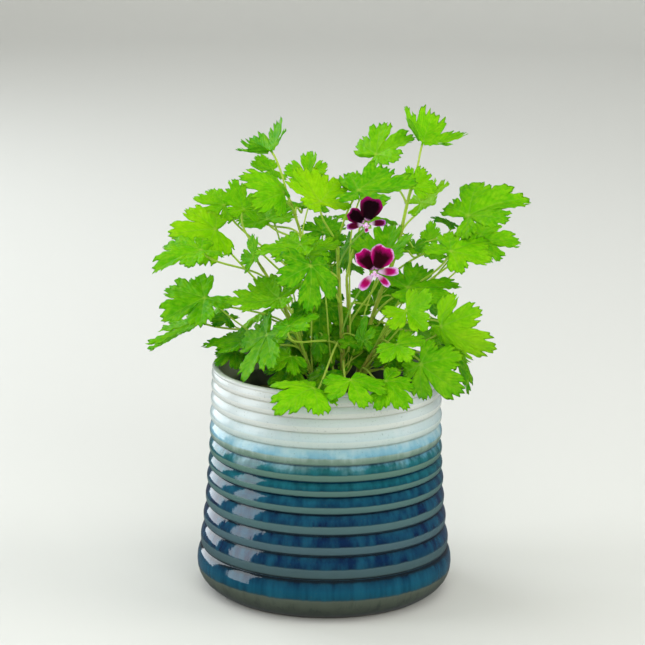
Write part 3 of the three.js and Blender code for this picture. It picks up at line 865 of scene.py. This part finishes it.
BACK_LEAVES = [
    (-50, 58, 256, 105, -8, -5, 28, -0.15, 0, "l1", 0.78),
    (-19, 55, 263, 95, 0, 0, 34, -0.1, 0.05, "l1", 0.92),
    (24, 52, 257, 85, -4, 5, 33, -0.15, 0, "c1", 0.98),
    (66, 64, 229, 68, -6, 8, 32, -0.1, 0.05, "r0", 0.66),
    (70, 60, 194, 62, -18, 10, 28, -0.2, 0, "r0", 0.5),
    (-34, 60, 206, 122, -24, -10, 33, -0.15, 0, "l0", 0.5),
    (3, 62, 219, 96, -18, 0, 34, -0.2, 0.05, "l1", 0.55),
    (43, 62, 204, 80, -22, 5, 33, -0.15, 0, "r0", 0.42),
    (-47, 48, 186, 142, -30, -10, 27, -0.2, 0, "l0", 0.35),
    (-18, 58, 181, 108, -16, -5, 31, -0.3, 0, "l1", 0.3),
    (24, 62, 177, 88, -32, 0, 33, -0.15, 0.05, "c1", 0.45),
    (65, 58, 175, 58, -32, 8, 31, -0.2, 0, "r0", 0.28),
]


def vein_group():
    """Node group: veins and puckers of a lobed leaf from its UV map.

    The map's bearing, folded at every lobe step, gives the distance from the nearest
    midrib. Side veins leave each midrib at even steps, and fine veins are the borders
    of small cells.
    """
    tree = bpy.data.node_groups.new("leaf_veins", "ShaderNodeTree")
    for name, way, kind in (
        ("Map", "INPUT", "NodeSocketVector"),
        ("Vein", "OUTPUT", "NodeSocketFloat"),
        ("Side Vein", "OUTPUT", "NodeSocketFloat"),
        ("Relief", "OUTPUT", "NodeSocketFloat"),
        ("Distance", "OUTPUT", "NodeSocketFloat"),
    ):
        tree.interface.new_socket(name, in_out=way, socket_type=kind)
    into, out = node(tree, "NodeGroupInput"), node(tree, "NodeGroupOutput")
    u, v = parts(into.outputs[0])[:2]
    step = math.radians(LOBE_STEP)
    bearing = calc("DIVIDE", calc("ARCTAN2", v, u), step)
    nearest = calc("ROUND", calc("MINIMUM", calc("MAXIMUM", bearing, -2.2), 2.2))
    off = times(minus(bearing, nearest), step)
    far = calc("SQRT", calc("ADD", times(u, u), times(v, v)))
    along = times(far, calc("COSINE", off))
    aside = calc("ABSOLUTE", times(far, calc("SINE", off)))
    width = span(far, 0, 1, 0.017, 0.005)
    midrib = span(calc("DIVIDE", aside, width), 0.5, 1.4, 1, 0, smooth=True)
    phase = times(minus(along, times(aside, 1.25)), 9)
    comb = calc("ABSOLUTE", minus(calc("FRACT", phase), 0.5))
    line = span(comb, 0.0, 0.075, 1, 0, smooth=True)
    cells = node(tree, "ShaderNodeTexVoronoi", feature="DISTANCE_TO_EDGE", voronoi_dimensions="2D")
    wire(into.outputs[0], cells.inputs["Vector"])
    cells.inputs["Scale"].default_value = 26
    borders = span(cells.outputs["Distance"], 0, 0.07, 1, 0)
    side = calc("MAXIMUM", times(line, span(aside, 0.02, 0.2, 1, 0.35)), times(borders, 0.28))
    puff = times(comb, span(aside, 0.0, 0.12))
    relief = minus(puff, times(calc("MAXIMUM", midrib, side), 0.4))
    for key, value in enumerate((midrib, side, relief, far)):
        wire(value, out.inputs[key])
    return tree


VEINS = vein_group()


def leaf_green():
    """Leaf: fresh green with paler veins, yellowish by the stalk and paler underneath. Its
    tone also carries painted light, yellower on lit leaves and darker in the crown's
    shade, with painted highlights on the puffs between veins, painted shade in the
    creases along them and patches of painted sheen. Light also comes through the blade."""
    material, tree, shader = finish("leaf_green", Specular_IOR_Level=0.24)
    vector = place(tree)
    veins = node(tree, "ShaderNodeGroup", node_tree=VEINS)
    wire(surface_uv(tree), veins.inputs[0])
    vein, side, relief, far = veins.outputs[:4]
    patch = noise(vector, 55, 3)
    painted_sheen = noise(vector, 260, 3)
    grain = noise(vector, 480, 4)
    # The leaf's green from its tone, which carries painted light as well as its own colour.
    colour = ramp(
        times_plus(minus(patch, 0.5), 0.7, attribute(tree, "tone_and_light")),
        (0, (40, 136, 0)), (0.35, (86, 182, 0)),
        (0.65, (132, 212, 0)), (1, (178, 232, 0)),
    )
    colour = tinted(
        colour,
        # Painted highlight on the puffs between veins, painted shade in the creases along them.
        (times(span(relief, 0.1, 0.45), 0.2), (168, 224, 16)),
        (times(span(relief, 0.06, -0.2), 0.16), (40, 120, 0)),
        (times(grain, 0.16), (40, 128, 6)),
        # Patches of painted sheen: pale yellow highlights.
        (times(span(painted_sheen, 0.36, 0.72, smooth=True), 0.3), (204, 240, 40)),
        (times(vein, 0.22), (180, 220, 80)),
        (span(far, 0.0, 0.07, 0.6, 0), (206, 224, 90)),
        (times(attribute(tree, "under"), 0.35), (120, 176, 50)),
        (attribute(tree, "stalk"), mix(patch, (196, 222, 70), (220, 230, 116))),
    )
    normal = bump(times_plus(grain, 0.25, relief), 0.0012, 0.4)
    coat(shader, colour, span(grain, 0.3, 0.7, 0.42, 0.62), normal)
    let_through(shader, 0.4, mix(0.5, colour, (160, 240, 4)), normal)
    return material


LEAF = leaf_green()
BROAD_LEAF = 22


def leaf(name, row, seed, tone_and_light):
    """A leaf's piece, blade and stalk, from its row."""
    x, y, z, heading, pitch, roll, size, curl, fold, branch, along = row
    axes, to_place = leaf_frame((x, y, z), heading, pitch, roll)
    target = to_place(np.array([0.0, 0, -0.1]))
    line = stalk_line(branch, along, target, unit(0.5 * axes[0] + 0.85 * axes[2]))
    blade = blade_shell(size, curl, fold, seed, tone_and_light, to_place)
    stalk = stalk_shell(line, 0.86 if size > BROAD_LEAF else 0.62, tone_and_light)
    return piece(name, [blade, stalk], LEAF)


for index, row in enumerate(LEAVES):
    label = f"leaf_{index + 1:02d}"
    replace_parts(leaf(label + "_blade", row, index, TONES_AND_LIGHT[index]), label)
# Leaves inside the crown get a low tone, a painted shade; those at the back a middle one.
for kind, rows, seed, tone_and_light in (("inner", INNER_LEAVES, 50, 0.06), ("back", BACK_LEAVES, 80, 0.5)):
    for index, row in enumerate(rows):
        leaf(f"{kind}_leaf_{index + 1:02d}", row, seed + index, tone_and_light + 0.2 * wobble(index, 5))


# Stalks of leaves hidden in the crown: the leaf that hides each one's end, the branch
# that carries it and how far along.
HIDDEN_STALKS = [
    (12, "l0", 0.06), (14, "l0", 0.1), (15, "l0", 0.16), (17, "c0", 0.08),
    (19, "c0", 0.14), (22, "c1", 0.2), (29, "r1", 0.1), (30, "r1", 0.2),
    (34, "r1", 0.14), (40, "l0", 0.12), (26, "r0", 0.08), (37, "l1", 0.05),
    (33, "r1", 0.3), (31, "r1", 0.4), (10, "l0", 0.08), (27, "r0", 0.12),
]
BEHIND = np.array([4, 14, -3])
shells = []
for number, branch, along in HIDDEN_STALKS:
    target = np.array(LEAVES[number - 1][:3], float) + BEHIND
    out = unit((target - STEM_LINES[branch][0]) * (1, 1, 0))
    line = stalk_line(branch, along, target, unit(0.5 * out + (0, 0, 0.7)))
    shells.append(stalk_shell(line, 0.7, 0.5))
piece("hidden_leaf_stalks", shells, LEAF)


# ---------- flowers ----------
PETAL_THICKNESS = 0.35
PETAL_START = 1.8


def disc(sides, count):
    """Rings over a disc: the bearing, the share of the radius from the middle, and the
    lengthways (0 to 1) and sideways (-1 to 1) places."""
    b = TURN * np.arange(sides) / sides
    s = np.linspace(0, 1, count + 1)[1:, None]
    return b, s, (1 + s * np.cos(b)) / 2, s * np.sin(b)


def petal_shell(length, width, bend, waviness, to_place):
    """A petal along +X, narrow at its base and round at its end.

    On a disc of radius s and bearing b: along = (1 + s cos b) / 2, the sideways place is
    half the width times (0.42 + 0.75 along) s sin b, and the height is minus bend
    length along^2, with a shallow trough down the middle and ripples at the end.
    """
    b, s, along, across = disc(72, 12)
    x = length * along * (1 - 0.04 * waviness * np.cos(7 * b) * s)
    y = width / 2 * (0.42 + 0.75 * along) * across
    z = -bend * length * along**2 + 0.05 * width * across**2
    z = z + waviness * 0.35 * s**3 * np.sin(5 * b + length)
    pattern = np.stack([along, across], -1)
    middle = (length / 2, 0, -bend * length / 4)
    return lens(x, y, z, s, PETAL_THICKNESS, middle, to_place, pattern, (0.5, 0))


def petal_finish(name, edge, body, heart, throat, veins, blotch, pale, rim_width):
    """A petal's colours: a paler rim of the given width, a body, a darker heart that
    fades between blotch's two lengths, a throat that fades between pale's two, and
    fine veins that fan out from the base."""
    material, tree, shader = finish(name, Specular_IOR_Level=0.12)
    along, across = parts(surface_uv(tree))[:2]
    length = times_plus(minus(noise(place(tree), 400, 3), 0.5), 0.22, along)
    side = calc("ABSOLUTE", across)
    lengthways = times_plus(length, 2, -1)
    radius = calc("SQRT", times_plus(across, across, times(lengthways, lengthways)))
    rim = times(span(radius, 1 - rim_width, 1, smooth=True), span(along, 0.4, 0.7))
    core = span(length, *blotch, 1, 0, smooth=True)
    core = times(core, span(side, 0.5, 0.95, 1, 0, smooth=True))
    colour = mix(core, body, heart)
    fan = calc("DIVIDE", across, calc("ADD", along, 0.25))
    comb = calc("ABSOLUTE", calc("SINE", times(fan, 21)))
    lines = times(span(comb, 0.0, 0.3, 1, 0), span(along, 0.55, 0.95, 0.75, 0.1))
    base = span(length, *pale, 1, 0, smooth=True)
    colour = tinted(colour, (lines, veins), (rim, edge), (base, throat))
    coat(shader, colour, span(comb, 0, 1, 0.6, 0.42), bump(comb, 0.0004, 0.5))
    let_through(shader, 0.25, colour)
    return material


# Each kind of petal: the colours of its edge, body, heart, throat and veins, the two
# lengths that its heart fades between, the two for its throat, and its rim's width.
MAROON, BICOLOUR, WINE, BLUSH = (
    petal_finish("petal_" + name, *row)
    for name, *row in (
        ("maroon", (150, 0, 96), (70, 0, 30), (22, 0, 8), (210, 150, 200), (20, 0, 8),
         (0.8, 1.1), (0.02, 0.1), 0.34),
        ("bicolour", (240, 176, 240), (200, 0, 120), (46, 0, 14), (220, 150, 210), (60, 0, 24),
         (0.6, 1.0), (0.02, 0.12), 0.15),
        ("wine", (196, 110, 206), (130, 0, 84), (84, 0, 36), (238, 214, 240), (84, 0, 40),
         (0.7, 1.0), (0.12, 0.42), 0.3),
        ("blush", (240, 196, 250), (200, 16, 150), (176, 0, 90), (240, 206, 242), (150, 0, 96),
         (0.6, 0.9), (0.14, 0.5), 0.42),
    )
)


def streaky(name, scale, share, first, second, relief, **plain):
    """Two colours in streaks, whose heights between the two shares pick the mix."""
    material, tree, shader = finish(name, **plain)
    streak = noise(stretched(place(tree), scale), 1, 3)
    colour = mix(span(streak, *share), first, second)
    coat(shader, colour, span(streak, 0.3, 0.7, 0.45, 0.65), bump(streak, *relief))
    return material


STREAKS = (700, 700, 160)
EVEN = (500, 500, 500)
CALYX = streaky("calyx_green", STREAKS, (0, 1), (120, 180, 50), (156, 194, 76), (0.0003, 0.6))
LILAC, WHITISH = (206, 140, 200), (236, 206, 236)
PALE = streaky("filament_pale", EVEN, (0.35, 0.7), WHITISH, LILAC, (0.0002, 0.4), Specular_IOR_Level=0.2)

# Each flower: centre, turn of its face about the vertical, upward tilt of its face, the
# branch that carries it and how far along. Each petal: name, bearing in the face (0 is
# right, 90 is up), length, width, lean towards the front, bend, height off the face.
FLOWERS = [
    ("upper_flower", (25, -74, 277), -4, 22, "c0", 0.82, [
        ("petal_top_left", 146, 12.4, 12, 10, 0.1, 0, MAROON),
        ("petal_top_right", 76, 16.5, 18, 4, 0.1, 1.1, MAROON),
        ("petal_left", 192, 11.5, 5.5, 8, 0.05, 0, WINE),
        ("petal_right", 5, 11.5, 5.5, 8, 0.05, 0, WINE),
        ("petal_bottom", 276, 6.2, 3.2, 45, 0.1, 0, BLUSH),
    ]),
    ("lower_flower", (31, -82, 246), 3, 14, "c0", 0.42, [
        ("petal_top_left", 126, 15.5, 14.5, 4, 0.1, 0, BICOLOUR),
        ("petal_top_right", 66, 17, 19, 2, 0.1, 1.1, BICOLOUR),
        ("petal_left", 230, 13.5, 7.5, 4, 0.05, 0, BLUSH),
        ("petal_right", 2, 14.5, 7, 4, 0.05, 0, BLUSH),
        ("petal_bottom", 316, 12, 5.5, 4, 0.05, 0, BLUSH),
    ]),
]


def face_frame(at, turn, tilt):
    """A flower's axes as rows: right, up in its face, and out of its face."""
    a, b = math.radians(turn), math.radians(tilt)
    right = np.array([math.cos(a), math.sin(a), 0])
    out = np.array([math.sin(a) * math.cos(b), -math.cos(a) * math.cos(b), math.sin(b)])
    axes = np.array([right, np.cross(out, right), out])
    return axes, lambda points: points @ axes + np.array(at, float)


def petal_place(bearing, lean, off, to_face):
    """Carries points from a petal's own frame: leaned about Y, turned about Z, moved out."""
    a, b = math.radians(bearing), -math.radians(lean)
    tip = np.array([[math.cos(b), 0, -math.sin(b)], [0, 1, 0], [math.sin(b), 0, math.cos(b)]])
    base = np.array([PETAL_START * math.cos(a), PETAL_START * math.sin(a), off])
    return lambda points: to_face(points @ (tip @ about_z(bearing)) + base)


def sepal_shell(bearing, to_face):
    """A pointed sepal: a narrow leaf shape that leans out behind the petals."""
    _, s, along, across = disc(24, 5)
    x = 3.4 * along
    y = 2.4 * across * (1 - along) ** 0.5
    z = -0.12 * x**1.4 + 0.5 * across**2
    a = math.radians(bearing)
    base = np.array([0.8 * math.cos(a), 0.8 * math.sin(a), -2.6])
    middle = (2.5, 0, -0.12 * 2.5**1.4)
    return lens(x, y, z, s, 0.4, middle, lambda points: to_face(points @ about_z(bearing) + base))


def bare(shell):
    """The shell without its UV values and marks."""
    return shell[0], shell[1], None, None


# The sepals' bearings, and each stamen's bearing and reach.
SEPALS = (90, 30, 150, 215, 325)
STAMENS = ((250, 5.5), (284, 6.5), (302, 5), (232, 4.5), (268, 7))
BROAD_PETAL = 10
for name, at, turn, tilt, branch, along, petals in FLOWERS:
    axes, to_face = face_frame(at, turn, tilt)
    line = stalk_line(branch, along, to_face(np.array([0.0, 0, -7])), axes[2], 40)
    throat = to_face(np.array([[0, 0, depth] for depth in (-8.2, -6, -3.5, -1.4, -1.1)], float))
    shells = [
        bare(tube(line, 0.62, 9, (1, 0, 0))),
        bare(tube(throat, np.array([0.9, 1.25, 1.5, 1.7, 1.2]), 14, axes[0])),
    ]
    shells += [bare(sepal_shell(bearing, to_face)) for bearing in SEPALS]
    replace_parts(piece(f"{name}_calyx", shells, CALYX), f"{name}_stalk")
    for petal, bearing, length, width, lean, bend, off, material in petals:
        to_place = petal_place(bearing, lean, off, to_face)
        shell = petal_shell(length, width, bend, 1.0 if width > BROAD_PETAL else 0.5, to_place)
        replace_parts(piece(f"{name}_{petal}_soft", [shell], material), f"{name}_{petal}")
    heart = to_face(np.array([[0, 0, -0.9], [0, -0.2, 0.5], [0, -0.5, 1.6], [0, -0.6, 2.0]]))
    filaments = [tube(heart, np.array([1.2, 1.05, 0.75, 0.45]), 14, axes[0])]
    for bearing, reach in STAMENS:
        a = math.radians(bearing)
        s = np.linspace(0, 1, 9)[:, None]
        path = s * (0.8 * reach * math.cos(a), 0.8 * reach * math.sin(a), 0)
        path = path + np.hstack([0 * s, 0.3 * reach * s**2, 1 + 0.55 * reach * s])
        thick = np.where(s[:, 0] > 0.85, 0.6, 0.34)
        filaments.append(tube(to_face(path), thick, 8, axes[0]))
    piece(f"{name}_stamens", filaments, PALE)


# ---------- setting ----------
def backdrop():
    """A round studio: a flat floor that turns up through a quarter round into a wall."""
    sides, flat, cove, wall = 96, 2.7, 1.3, 4.5
    turn = np.linspace(0, math.pi / 2, 17)
    radius = np.r_[0.5, 1, 1.8, flat + cove * np.sin(turn), flat + cove]
    height = np.r_[0, 0, 0, cove - cove * np.cos(turn), wall]
    points = turned(radius, height, sides)
    faces = joined(len(radius), sides, 0).tolist() + [list(range(sides))]
    paper = finish("studio_paper", Roughness=0.85, Base_Color=linear(212, 212, 208))[0]
    made = put("studio_floor", smooth_mesh("studio_floor", points.reshape(-1, 3), faces, paper))
    made.visible_glossy = False


backdrop()


def lamp(name, at, towards, size, power, colour, in_gloss):
    """An area lamp at a place, facing another, that the camera doesn't see."""
    light = bpy.data.lights.new(name, "AREA")
    light.shape = "RECTANGLE"
    light.size, light.size_y = size
    light.energy = power
    light.color = colour
    made = put(name, light)
    at, towards = np.array(at, float), np.array(towards, float)
    back = unit(at - towards)
    right = unit(np.cross((0, 0, 1), back))
    rows = np.column_stack([right, np.cross(back, right), back])
    made.matrix_world = Matrix.Translation(at.tolist()) @ Matrix(rows.tolist()).to_4x4()
    made.visible_camera = False
    made.visible_glossy = in_gloss


WHITE = (1, 1, 0.97)
DAYLIGHT = (0.9, 0.96, 1)
lamp("window_left", (-2.25, -0.3, 0.75), (0, 0, 0.2), (1.1, 2.2), 26, DAYLIGHT, True)
lamp("window_back_left", (-1.55, 1.35, 0.8), (0, 0, 0.2), (1.3, 1.8), 26, DAYLIGHT, True)
lamp("ceiling", (0.1, -0.1, 3.6), (0, 0, 0.15), (5, 5), 106, WHITE, False)
lamp("front_fill", (0.5, -2.6, 1.4), (0, 0, 0.15), (2.4, 1.6), 43, WHITE, False)
lamp("right_fill", (2.3, -0.4, 1.0), (0, 0, 0.15), (1.4, 1.6), 19, WHITE, False)

world = bpy.data.worlds.new("studio")
world.use_nodes = True
sky = world.node_tree.nodes["Background"]
sky.inputs["Color"].default_value = (0.86, 0.92, 1, 1)
sky.inputs["Strength"].default_value = 0.16
bpy.context.scene.world = world
bpy.context.scene.view_settings.view_transform = "Standard"

# ---------- camera ----------
PITCH = math.radians(13.6)
ROLL = math.radians(0.75)
LENS_MM = 164.6
EYE = (-0.0033, -2.0, 0.675)
camera_data = bpy.data.cameras.new("camera")
camera_data.lens = LENS_MM
camera_data.sensor_width = 36
camera = put("camera", camera_data)
level = np.array([1.0, 0, 0])
upward = np.array([0, math.sin(PITCH), math.cos(PITCH)])
ahead = np.array([0, math.cos(PITCH), -math.sin(PITCH)])
right = math.cos(ROLL) * level + math.sin(ROLL) * upward
top = math.cos(ROLL) * upward - math.sin(ROLL) * level
turn = Matrix(np.column_stack([right, top, -ahead]).tolist())
camera.matrix_world = Matrix.Translation(EYE) @ turn.to_4x4()
bpy.context.scene.camera = camera
